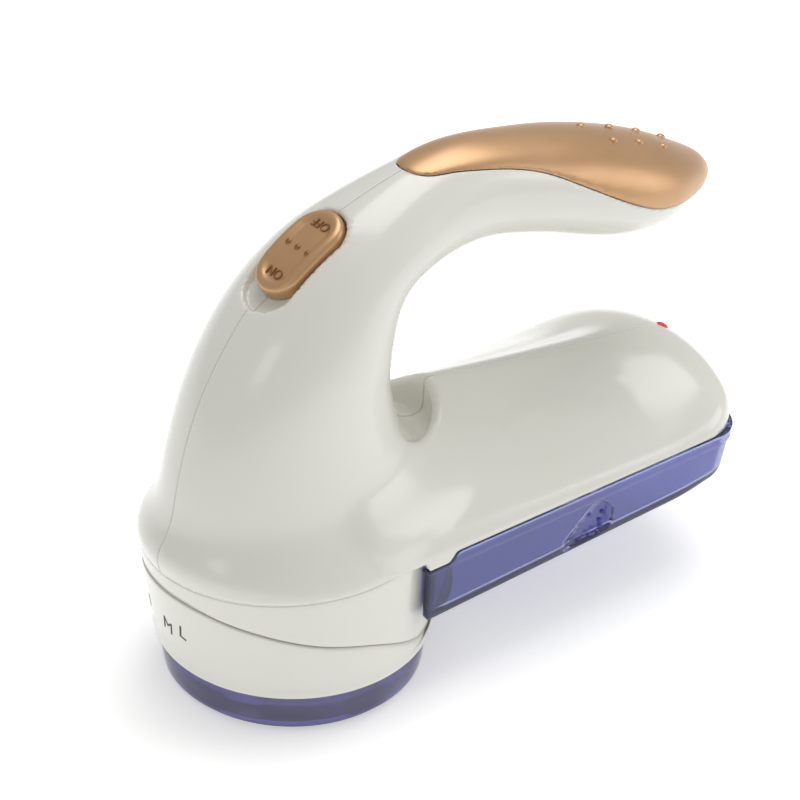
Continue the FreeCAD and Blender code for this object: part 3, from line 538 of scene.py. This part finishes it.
# ------------------------------------------------------------------ handle inlay
# A thin ABS cap with a satin copper-gold paint, snapped into a seat along the top of the
# handle.  Its edges are rounded off, and seven small domes near the tip give the hand a hold.
cap, cap_tris = keep_positive(handle, handle_tris, over_edge(handle) + 0.02)
outward = slope_of(body_distance, cap)
outward /= np.linalg.norm(outward, axis=1, keepdims=True)
from_edge = np.clip(over_edge(cap), 0, 1.4) / 1.4
cap = cap + outward * (0.05 + 0.32 * np.sqrt(1 - (1 - from_edge[:, None]) ** 2))
cap[:, 1] = np.where(cap[:, 1] < parting_gap * 1.5, 0.0, cap[:, 1])
whole = np.concatenate([cap, cap * (1, -1, 1)])
whole_tris = np.concatenate([cap_tris, cap_tris[:, ::-1] + len(cap)])
on_middle = np.abs(whole[:, 1]) < 1e-9
key = np.where(on_middle, np.arange(len(whole)) % len(cap), np.arange(len(whole)))
used, joined = np.unique(key[whole_tris], return_inverse=True)
grip_inlay = new_piece("handle_inlay", whole[used], joined.reshape(-1, 3))
thicken(grip_inlay, 1.2)
satin_gold = finish_paint("copper_gold_paint", (0.56, 0.32, 0.15), (0.62, 0.37, 0.19), (0.33, 0.41),
                          metal=0.6, patch=60.0, fine=2600.0, depth=0.05)
lacquer(satin_gold, 0.35, 0.3)
grip_inlay.data.materials.append(satin_gold)
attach(grip_inlay, "housing")
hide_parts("grip_inlay")

dome_rows = ((0.8, (87.0, 96.6, 106.0, 115.0)), (-6.3, (91.4, 100.3, 108.8)))
dome_spots = np.array([(x, y) for y, row in dome_rows for x in row])
dome_tops = np.array([cap[np.argmin(np.hypot(cap[:, 0] - x, cap[:, 1] - abs(y)) - 0.002 * cap[:, 2]), 2]
                      for x, y in dome_spots])
dome_sides = 16
ring_turn = np.linspace(0, 2 * np.pi, dome_sides + 1)[:-1]
rise = np.radians([-20.0, 0.0, 20.0, 40.0, 60.0, 78.0])


def low_dome(radius, height):
    """A low dome's rings of points: two places across it and a height, from its foot up."""
    return (radius * np.outer(np.cos(rise), np.cos(ring_turn)),
            radius * np.outer(np.cos(rise), np.sin(ring_turn)),
            height * np.outer(np.sin(rise), np.ones(dome_sides)))


def dome_skin(start, right_handed=True):
    """Faces of one low dome whose points begin at this number, with its top.  They are turned
    round where the dome's own three directions are left-handed."""
    band = tube_grid(len(rise), dome_sides)
    top = [start + (len(rise) - 1) * dome_sides + i for i in range(dome_sides)]
    if right_handed:
        return (band + start).tolist() + [top]
    return (band[:, ::-1] + start).tolist() + [top[::-1]]


domes, dome_faces = [], []
for (x, y), top in zip(dome_spots, dome_tops):
    across_x, across_y, up_z = low_dome(1.25, 1.0)
    dome_faces += dome_skin(sum(map(len, domes)))
    domes.append(np.stack([x + across_x, y + across_y, top - 0.25 + up_z], -1).reshape(-1, 3))
grip_domes = new_piece("handle_domes", np.concatenate(domes), dome_faces)
grip_domes.data.materials.append(satin_gold)
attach(grip_domes, "housing")

# ------------------------------------------------------------------ slide switch button
# A stadium-shaped ABS button in the inlay's paint, domed at its rim and dished in the
# middle, with three pips and the words OFF and ON moulded on it.
button_long, button_wide = 24.6, 14.0
button_shift = (recess_long - button_long) / 2 - 0.4


def at_switch(d, y, n):
    """Points from places along, across and out of the switch slope."""
    flat = recess_mid + np.multiply.outer(d, slope_d) + np.multiply.outer(n, slope_n)
    return np.stack([flat[..., 0], y, flat[..., 1]], -1).reshape(-1, 3)


def button_top(d, y):
    """Height of the button's face: it follows the neck's curve and is dished in the middle."""
    edge = -stadium_distance(d, y, button_long, button_wide)
    crown = 2.9 - 0.0095 * d ** 2 - 0.012 * y ** 2
    return crown - 0.85 * smooth_step(1.6, 3.6, edge)


button_sides = 180
turn = np.linspace(0, 2 * np.pi, button_sides + 1)[:-1]
straight = (button_long - button_wide) / 2
outline_d = np.cos(turn) * button_wide / 2 + straight * np.tanh(np.cos(turn) * 6)
outline_y = np.sin(turn) * button_wide / 2
# edge of the button from the foot up: height, inset, and whether the height is over the face
drop_rows = [(-2.0, 0.0, False), (-0.2, 0.0, False), (-1.2, 0.0, True), (-0.55, 0.12, True),
             (-0.18, 0.45, True), (0.0, 0.95, True)]
rows = []
for level, inset, on_top in drop_rows:
    d, y = outline_d * (1 - inset / 12.3), outline_y * (1 - inset / 7.0)
    rows.append((d, y, (button_top(d, y) if on_top else 0) + level))
for share in np.linspace(0.84, 0.02, 24):
    d, y = outline_d * share, outline_y * share
    rows.append((d, y, button_top(d, y)))
rows = [at_switch(d + button_shift, y, n + np.zeros_like(d)) for d, y, n in rows]
faces = tube_grid(len(rows), button_sides).tolist()
faces.append([(len(rows) - 1) * button_sides + i for i in range(button_sides)])
switch_button = new_piece("switch_button_skin", np.concatenate(rows), faces)
switch_button.data.materials.append(satin_gold)
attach(switch_button, "switch_slider")
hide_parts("switch_button")

pip_d, pip_pitch = 0.3, 3.6
pips, pip_faces = [], []
for offset in (-pip_pitch, 0.0, pip_pitch):
    along_d, across_y, out_n = low_dome(0.85, 0.6)
    foot = button_top(np.array(pip_d), np.array(offset)) - 0.1
    pip_faces += dome_skin(sum(map(len, pips)))
    pips.append(at_switch(pip_d + along_d + button_shift, offset + across_y, foot + out_n))
switch_pips = new_piece("switch_pips", np.concatenate(pips), pip_faces)
# the pips and the words are moulded in the button's own gold; this darker gold on them is painted shade,
# standing in for the shading round their raised shapes
painted_shade_gold = finish_paint("gold_with_painted_shade", (0.28, 0.13, 0.05), (0.35, 0.17, 0.07), (0.35, 0.45),
                         metal=0.6, patch=60.0)
switch_pips.data.materials.append(painted_shade_gold)
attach(switch_pips, "switch_slider")


def lettering(words, height, thick):
    """Flat lettering as points and faces: X along the line, Y up, Z out of the face."""
    curve = bpy.data.curves.new("letters", "FONT")
    curve.body = words
    curve.size = height * 1.4
    curve.extrude = thick / 2
    curve.align_x = "CENTER"
    curve.align_y = "CENTER"
    carrier = bpy.data.objects.new("letters", curve)
    bpy.context.scene.collection.objects.link(carrier)
    mesh = bpy.data.meshes.new_from_object(carrier.evaluated_get(bpy.context.evaluated_depsgraph_get()))
    co = np.empty(len(mesh.vertices) * 3)
    mesh.vertices.foreach_get("co", co)
    found = [list(p.vertices) for p in mesh.polygons]
    bpy.data.objects.remove(carrier)
    return co.reshape(-1, 3), found


words, word_faces = [], []
for text, place in (("OFF", 7.9), ("ON", -7.4)):
    flat, found = lettering(text, 2.3, 0.5)
    d, y = place - flat[:, 1], flat[:, 0]
    start = sum(map(len, words))
    words.append(at_switch(d + button_shift, y, button_top(d, y) + flat[:, 2] + 0.02))
    word_faces += [[start + i for i in face] for face in found]
switch_words = new_piece("switch_words", np.concatenate(words), word_faces, smooth=False)
# the words take the same darker gold: painted shade, not a different paint
switch_words.data.materials.append(painted_shade_gold)
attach(switch_words, "switch_slider")

# ------------------------------------------------------------------ head collar and scale bezel
# Two ivory mouldings under the neck: the collar tapers from the oval seam to a round foot,
# and the bezel below a sloping step stands a little proud and carries the printed scale.
foot_z, foot_r = 11.0, 34.0
oval_growth_x, oval_growth_y = 3.5, 0.6
head_sides = 360
collar_turn = np.linspace(0, 2 * np.pi, head_sides + 1)[:-1]


def head_ring(z, grow, phi=collar_turn):
    """Points of the head's tapering outside at heights z: round at the foot, oval at the
    seam, grown by a radial amount.  phi runs from -X towards -Y."""
    t = (z - foot_z) / (seam_z - foot_z)
    rx, ry = foot_r + oval_growth_x * t + grow, foot_r + oval_growth_y * t + grow
    return np.stack([-t - rx * np.cos(phi), -ry * np.sin(phi), z + 0 * phi], -1)


# the sloping step's height at places round the head, from the front to the rear
step_spots = np.radians([0, 15, 30, 45, 67, 89, 105, 120, 145, 180.0])
step_heights = np.array([33.9, 33.6, 32.0, 29.8, 25.8, 21.9, 17.6, 14.2, 12.4, 12.0])
folded = np.abs((collar_turn + np.pi) % (2 * np.pi) - np.pi)
step_line = spline(step_spots, step_heights[:, None], folded)[:, 0]
wall_in = -2.2


def ring_wall(name, loops):
    """A ring-shaped wall: loops of points round Z, in the order of its closed section."""
    count = len(loops)
    k, i = np.meshgrid(np.arange(count), np.arange(head_sides), indexing="ij")
    a, b = k * head_sides + i, k * head_sides + (i + 1) % head_sides
    c, d = (k + 1) % count * head_sides + (i + 1) % head_sides, (k + 1) % count * head_sides + i
    return new_piece(name, np.concatenate(loops), np.stack([a, b, c, d], -1).reshape(-1, 4))


# sections of the two walls as rows of height and growth
high = np.full(head_sides, seam_z - 0.06)
collar_rows = [(step_line + 0.1, wall_in), (step_line + 0.1, -0.7)]
collar_rows += [(step_line + 0.25, -0.25), (step_line + 0.6, -0.05)]
collar_rows += [(step_line + (high - step_line) * s, 0.0) for s in (0.1, 0.25, 0.45, 0.65, 0.85)]
collar_rows += [(high - 0.35, 0.0), (high - 0.12, -0.07), (high, -0.3), (high, wall_in)]
head_collar = ring_wall("collar_skin", [head_ring(z, grow) for z, grow in collar_rows])
low = np.full(head_sides, foot_z)
edge_round = 0.5 + 1.1 * smooth_step(0.9, 2.4, folded)
bead_top, bezel_proud = 2.3, 0.35
bezel_rows = [(low, wall_in), (low, 0.35), (low + 0.12, 0.55), (low + 0.5, 0.62), (low + 1.3, 0.58)]
bezel_rows += [(low + bead_top, 0.38)]
face_height = (step_line - 1.9 - low - bead_top).clip(0.05)
bezel_rows += [(low + bead_top + face_height * s, bezel_proud) for s in (0.1, 0.35, 0.7, 0.95)]
bezel_rows += [(step_line - edge_round * (1 - np.sin(a)), bezel_proud - edge_round * (1 - np.cos(a)) * 0.8)
               for a in np.radians([0, 20, 40, 60, 80, 90])]
bezel_rows += [(step_line, wall_in)]
scale_bezel = ring_wall("bezel_skin", [head_ring(z, grow) for z, grow in bezel_rows])
for piece, node in ((head_collar, "head_collar"), (scale_bezel, "scale_bezel")):
    piece.data.materials.append(ivory)
    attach(piece, "housing")
    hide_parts(node)

scale_ink = finish_paint("scale_ink", (0.02, 0.02, 0.02), (0.04, 0.04, 0.04), (0.4, 0.55), patch=200.0)
letter_lean, letter_r = -12.0, 35.5
marks, mark_faces = [], []
for text, angle, height in (("S", -24.0, 20.6), ("M", -2.0, 22.0), ("L", 8.0, 23.3)):
    flat, found = lettering(text, 4.0, 0.12)
    lean = math.radians(letter_lean)
    u = flat[:, 0] * math.cos(lean) - flat[:, 1] * math.sin(lean)
    v = flat[:, 0] * math.sin(lean) + flat[:, 1] * math.cos(lean)
    start = sum(map(len, marks))
    phi = math.radians(angle) + u / letter_r
    marks.append(head_ring(height + v, 0.37 + flat[:, 2], phi))
    mark_faces += [[start + i for i in face] for face in found]
scale_marks = new_piece("scale_marks", np.concatenate(marks), mark_faces, smooth=False)
scale_marks.data.materials.append(scale_ink)
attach(scale_marks, "housing")

# ------------------------------------------------------------------ height dial and distance ring
# Clear violet mouldings at the foot.  The dial is a plain band; the ring inside it has
# nine raised blocks round it, and a foot flange that stands on the cloth.


def clear_plastic(name, body, edge, rough):
    """Tinted clear plastic: lighter face on, deeper where the wall is seen edgeways."""
    paint = finish_paint(name, body, tuple(0.93 * c for c in body), rough, patch=40.0, depth=0.01)
    n, links = paint.node_tree.nodes, paint.node_tree.links
    bsdf = n["Principled BSDF"]
    bsdf.inputs["Transmission Weight"].default_value = 0.9
    bsdf.inputs["IOR"].default_value = 1.46
    facing, mix = n.new("ShaderNodeLayerWeight"), n.new("ShaderNodeMix")
    facing.inputs["Blend"].default_value = 0.35
    mix.data_type = "RGBA"
    mix.inputs[7].default_value = (*edge, 1.0)
    links.new(facing.outputs["Facing"], mix.inputs["Factor"])
    links.new(bsdf.inputs["Base Color"].links[0].from_socket, mix.inputs[6])
    links.new(mix.outputs[2], bsdf.inputs["Base Color"])
    return paint


violet = clear_plastic("clear_violet", (0.72, 0.71, 0.90), (0.10, 0.08, 0.42), (0.06, 0.12))
deep_violet = clear_plastic("deep_violet", (0.20, 0.17, 0.58), (0.05, 0.04, 0.30), (0.08, 0.14))


def lathe(name, profile):
    """A closed section of (radius, height) rows turned about the Z axis."""
    x, y = -np.cos(collar_turn), -np.sin(collar_turn)
    return ring_wall(name, [np.stack([r * x, r * y, z + 0 * collar_turn], -1) for r, z in profile])


height_dial = lathe("dial_band", [
    (30.1, 10.7), (30.1, 9.6), (31.0, 9.4), (30.8, 1.3), (31.0, 1.0), (32.2, 1.0), (32.5, 1.25),
    (32.65, 2.0), (33.1, 6.0), (33.4, 10.2), (33.3, 10.55), (33.1, 10.7)])
ring_phase = (np.degrees(collar_turn) % 40.0) < 20.0
second_phase = (np.degrees(collar_turn) % 80.0) < 40.0
block_r = np.where(ring_phase, 30.75, 30.1)
block_foot = np.where(second_phase, 1.3, 3.4)
distance_ring = lathe("ring_blocks", [
    (29.3, 8.5), (29.3, 0.1), (29.4, 0.0), (31.2, 0.0), (31.5, 0.2), (31.5, 0.75), (31.2, 0.85),
    (30.1, 0.95), (30.1, block_foot), (block_r, block_foot + 0.01), (block_r, 8.3), (block_r - 0.2, 8.5)])
for piece, node, body, paint in ((height_dial, "height_dial", "dial", violet),
                                 (distance_ring, "distance_ring", "lift_ring", deep_violet)):
    piece.data.materials.append(paint)
    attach(piece, body)
    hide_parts(node)

# ------------------------------------------------------------------ lint bin
# A clear violet tray with a thick front wall that follows the collar, a ledge along its
# sides, rounded rear corners and a teardrop thumb recess with small studs on each side.
bin_gap = 0.6
bin_top = 39.1
ledge_z = 36.1
front_x = 14.6
front_drop = 2.3
end_sweep = 60.0


def bin_floor(x):
    """Height of the tray's underside, which rises a little towards the rear."""
    return 21.3 + 0.033 * (x - 14.0)


def u_path():
    """Shares of the bin's outline, closed: near side, near corner, end, far corner, far
    side and the concave front; each is a kind number and a place between 0 and 1."""
    counts = (210, 34, 60, 34, 210, 90)
    return np.concatenate([np.stack([np.full(count, kind), np.arange(count) / count], 1)
                           for kind, count in enumerate(counts)])


path = u_path()


def bin_loop(inset, z):
    """Outline of the tray at a height, pulled in evenly by an inset; z may vary round it."""
    kind, t = path.T
    w, r = tail_w - inset, tail_corner - inset
    end_r = end_sweep - inset
    reach = math.sqrt((end_sweep - tail_corner) ** 2 - (tail_w - tail_corner) ** 2)
    cx, cy = tail_end - end_sweep + reach, tail_w - tail_corner
    lean = math.atan2(cy, reach)
    start = front_x + inset
    share = (z - foot_z) / (seam_z - foot_z)
    oval_x = foot_r + oval_growth_x * share + bin_gap + inset
    oval_y = foot_r + oval_growth_y * share + bin_gap + inset
    entry = np.arccos(np.clip((start + share) / oval_x, -1, 1))
    x, y = np.zeros(len(path)), np.zeros(len(path))
    e = kind == 0
    x[e], y[e] = (start + (cx - start) * t)[e], -w[e]
    e = kind == 1
    a = -np.pi / 2 + (np.pi / 2 - lean) * t
    x[e], y[e] = (cx + r * np.cos(a))[e], (-cy + r * np.sin(a))[e]
    e = kind == 2
    a = -lean + 2 * lean * t
    x[e], y[e] = (tail_end - end_sweep + end_r * np.cos(a))[e], (end_r * np.sin(a))[e]
    e = kind == 3
    a = lean + (np.pi / 2 - lean) * t
    x[e], y[e] = (cx + r * np.cos(a))[e], (cy + r * np.sin(a))[e]
    e = kind == 4
    x[e], y[e] = (cx + (start - cx) * t)[e], w[e]
    e = kind == 5
    a = entry * (1 - 2 * (t - 0.02) / 0.96).clip(-1, 1)
    x[e], y[e] = (-share + oval_x * np.cos(a))[e], (oval_y * np.sin(a))[e]
    return np.stack([x, y, z + 0 * x], 1)


ones = np.ones(len(path))
plain = bin_loop(0 * ones, 30.0 * ones)
rear = smooth_step(96.0, 126.0, plain[:, 0])
front_step = 1 - smooth_step(20.4, 23.4, plain[:, 0])
at_front = path[:, 0] == 5
top_z = bin_top - np.where(at_front, front_drop, front_drop * front_step)
ledge = np.minimum(ledge_z, top_z - 0.9)
floor_z = bin_floor(plain[:, 0])
corner = 1.6 + 1.6 * rear
wall, inner_corner = 1.6, 1.6
below_ledge, inner_step, ledge_bevel = 0.55, 0.35, 0.35


def lean_in(z):
    """How far the tray's rear leans in at a height, from the rim down to the floor."""
    height_share = ((z - floor_z) / (top_z - floor_z)).clip(0, 1)
    return 2.2 * rear * (1 - height_share) ** 1.3


def thumb_recess(points):
    """Depth of the teardrop recess in a side wall: a round pocket with a long fading tail."""
    x, z = points[:, 0], points[:, 2]
    mid_x, mid_z, lean_cos, lean_sin = 68.6, 28.9, 0.93, 0.37
    u = (x - mid_x) * lean_cos + (z - mid_z) * lean_sin
    v = -(x - mid_x) * lean_sin + (z - mid_z) * lean_cos
    half_v = np.interp(u, [-13, -6, -1, 3, 5.4, 6.6], [0.3, 2.2, 4.0, 4.9, 3.4, 0.1], left=0.01, right=0.01)
    span = (u / 6.6).clip(-2, 1)
    inside = (1 - (np.abs(v) / half_v) ** 2.5).clip(0, 1) * (span > -2) * (span < 1)
    return 1.7 * smooth_step(0.0, 0.55, inside) * smooth_step(-13.0, -5.0, u)


side = (path[:, 0] == 0) | (path[:, 0] == 4)
pull = np.where(plain[:, 1] > 0, -1.0, 1.0)


def side_row(inset, z):
    """Outline of the tray at a height, with the thumb recesses pressed into its sides."""
    row = bin_loop(inset * ones, z)
    row[:, 1] += np.where(side, pull * thumb_recess(row), 0)
    return row


under = bin_loop(corner, floor_z)
spine_x = under[:, 0].clip(48.0, 108.0)
spine = np.stack([spine_x, 0 * ones, bin_floor(spine_x)], 1)
rows = [spine + (under - spine) * s for s in (0.02, 0.2, 0.4, 0.6, 0.8)]
for a in np.radians([0, 18, 36, 54, 72, 90]):
    z = floor_z + corner * (1 - np.cos(a))
    rows.append(side_row(lean_in(z) + corner * (1 - np.sin(a)) + below_ledge, z))
knee = floor_z + corner
for s in np.linspace(0.05, 1.0, 20):
    z = knee + (ledge - ledge_bevel - knee) * s
    rows.append(side_row(lean_in(z) + below_ledge, z))
rows.append(side_row(lean_in(ledge) + 0.2, ledge - 0.2))
rows.append(side_row(lean_in(ledge), ledge + 0.1))
for s in (0.4, 0.8):
    rows.append(side_row(lean_in(ledge), ledge + (top_z - 0.25 - ledge) * s))
rows += [side_row(0.05, top_z - 0.1), side_row(0.3, top_z)]
rows += [side_row(wall - 0.2, top_z), side_row(wall, top_z - 0.2)]
for s in np.linspace(0.1, 1.0, 16):
    z = top_z - 0.2 + (floor_z + wall + inner_corner - top_z + 0.2) * s
    rows.append(side_row(lean_in(z) + inner_step + wall, z))
for a in np.radians([30, 60, 90]):
    z = floor_z + wall + inner_corner * (1 - np.sin(a))
    rows.append(side_row(lean_in(z) + inner_step + wall + inner_corner * (1 - np.cos(a)), z))
over = rows[-1]
spine_in = spine + (0, 0, wall)
rows += [spine_in + (over - spine_in) * s for s in (0.8, 0.6, 0.4, 0.2, 0.02)]
count = len(path)
faces = tube_grid(len(rows), count).tolist()
faces += [list(range(count))[::-1], [(len(rows) - 1) * count + i for i in range(count)]]
lint_bin = new_piece("lint_tray", np.concatenate(rows), faces)
bin_paint = clear_plastic("clear_violet_bin", (0.45, 0.48, 0.80), (0.02, 0.02, 0.26), (0.04, 0.09))
lint_bin.data.materials.append(bin_paint)
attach(lint_bin, "bin")
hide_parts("lint_bin")

stud_spots = np.array([(66.5, 32.3), (72.4, 30.2), (64.4, 29.8), (71.6, 28.0), (71.9, 26.2), (70.2, 25.4),
                       (62.6, 27.5), (67.9, 25.2)])
studs, stud_faces = [], []
for hand in (-1.0, 1.0):
    for x, z in stud_spots:
        depth = inner_step + float(thumb_recess(np.array([[x, 0.0, z]]))[0])
        across_x, across_z, out_y = low_dome(0.65, 0.6)
        out_y = hand * (tail_w - depth - 0.15 + out_y)
        stud_faces += dome_skin(sum(map(len, studs)), right_handed=False)
        studs.append(np.stack([x + across_x, out_y, z + hand * across_z], -1).reshape(-1, 3))
bin_studs = new_piece("thumb_studs", np.concatenate(studs), stud_faces)
bin_studs.data.materials.append(deep_violet)
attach(bin_studs, "bin")

# ------------------------------------------------------------------ charging light
# A small domed red lens set in the tail's ridge, moulded in clear red plastic.
lens_sides = 24
lens_turn = np.linspace(0, 2 * np.pi, lens_sides + 1)[:-1]
lens_side = np.cross(led_lean, (0.0, 1.0, 0.0))
lens_circle = np.outer(np.cos(lens_turn), lens_side) + np.outer(np.sin(lens_turn), (0.0, 1.0, 0.0))
lens_profile = ((1.6, -2.0), (1.6, -0.1), (1.5, 0.25), (1.2, 0.5), (0.7, 0.68), (0.2, 0.74))
lens_rows = [led_place + led_lean * h + r * lens_circle for r, h in lens_profile]
lens_faces = tube_grid(len(lens_rows), lens_sides)[:, ::-1].tolist()
lens_faces.append([(len(lens_rows) - 1) * lens_sides + i for i in range(lens_sides)][::-1])
lens_faces.append(list(range(lens_sides)))
charge_lens = new_piece("charge_lens", np.concatenate(lens_rows), lens_faces)
red = finish_paint("red_lens", (0.75, 0.03, 0.02), (0.65, 0.02, 0.02), (0.08, 0.14), patch=300.0, depth=0.004)
red_look = red.node_tree.nodes["Principled BSDF"].inputs
red_look["Emission Color"].default_value = (0.9, 0.04, 0.02, 1.0)
red_look["Emission Strength"].default_value = 0.15
charge_lens.data.materials.append(red)
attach(charge_lens, "housing")
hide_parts("charge_led")

# ------------------------------------------------------------------ inner parts
# The motor, cutter, boards, cells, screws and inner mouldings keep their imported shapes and
# take the finish of the real stock: plated steel, sintered brass, natural nylon, laminate.
inner_finishes = {
    "black_plastic": finish_paint("black_moulding", (0.03, 0.03, 0.03), (0.045, 0.045, 0.045), (0.45, 0.6),
                                  depth=0.05),
    "white_nylon": finish_paint("natural_nylon", (0.72, 0.72, 0.68), (0.66, 0.66, 0.61), (0.4, 0.52)),
    "circuit_board": finish_paint("green_laminate", (0.02, 0.16, 0.06), (0.03, 0.22, 0.09), (0.25, 0.4),
                                  patch=120.0),
    "steel": finish_paint("plated_steel", (0.55, 0.55, 0.56), (0.48, 0.48, 0.49), (0.25, 0.4), metal=1.0,
                          stretch=(1, 1, 6)),
    "foil_steel": finish_paint("foil_steel", (0.66, 0.66, 0.67), (0.58, 0.58, 0.60), (0.22, 0.34), metal=1.0,
                               stretch=(1, 8, 1)),
    "blade_steel": finish_paint("blade_steel", (0.60, 0.60, 0.62), (0.52, 0.52, 0.54), (0.2, 0.35), metal=1.0,
                                stretch=(8, 1, 1)),
    "screw_steel": finish_paint("zinc_plate", (0.50, 0.50, 0.49), (0.42, 0.42, 0.40), (0.3, 0.45),
                                metal=1.0, patch=300.0),
    "spring_steel": finish_paint("nickel_plate", (0.62, 0.61, 0.58), (0.55, 0.54, 0.50), (0.18, 0.3),
                                 metal=1.0, patch=300.0),
    "shaft_steel": finish_paint("ground_steel", (0.68, 0.68, 0.70), (0.60, 0.60, 0.62), (0.1, 0.2), metal=1.0,
                                stretch=(1, 1, 12)),
    "bush_brass": finish_paint("sintered_brass", (0.62, 0.43, 0.16), (0.52, 0.35, 0.12), (0.3, 0.45),
                               metal=1.0, patch=300.0),
    "cell_sleeve": finish_paint("blue_sleeve", (0.05, 0.16, 0.45), (0.04, 0.13, 0.38), (0.25, 0.35),
                                patch=80.0),
    "cream_plastic": ivory,
    "violet_clear": violet,
    "bronze_trim": satin_gold,
    "red_lens": red,
}
stock = {part["node"]: part["material_slot"] for part in frame["record"]["subparts"]}
for name, node in frame["nodes"].items():
    node.data.materials.clear()
    node.data.materials.append(inner_finishes[stock[name]])
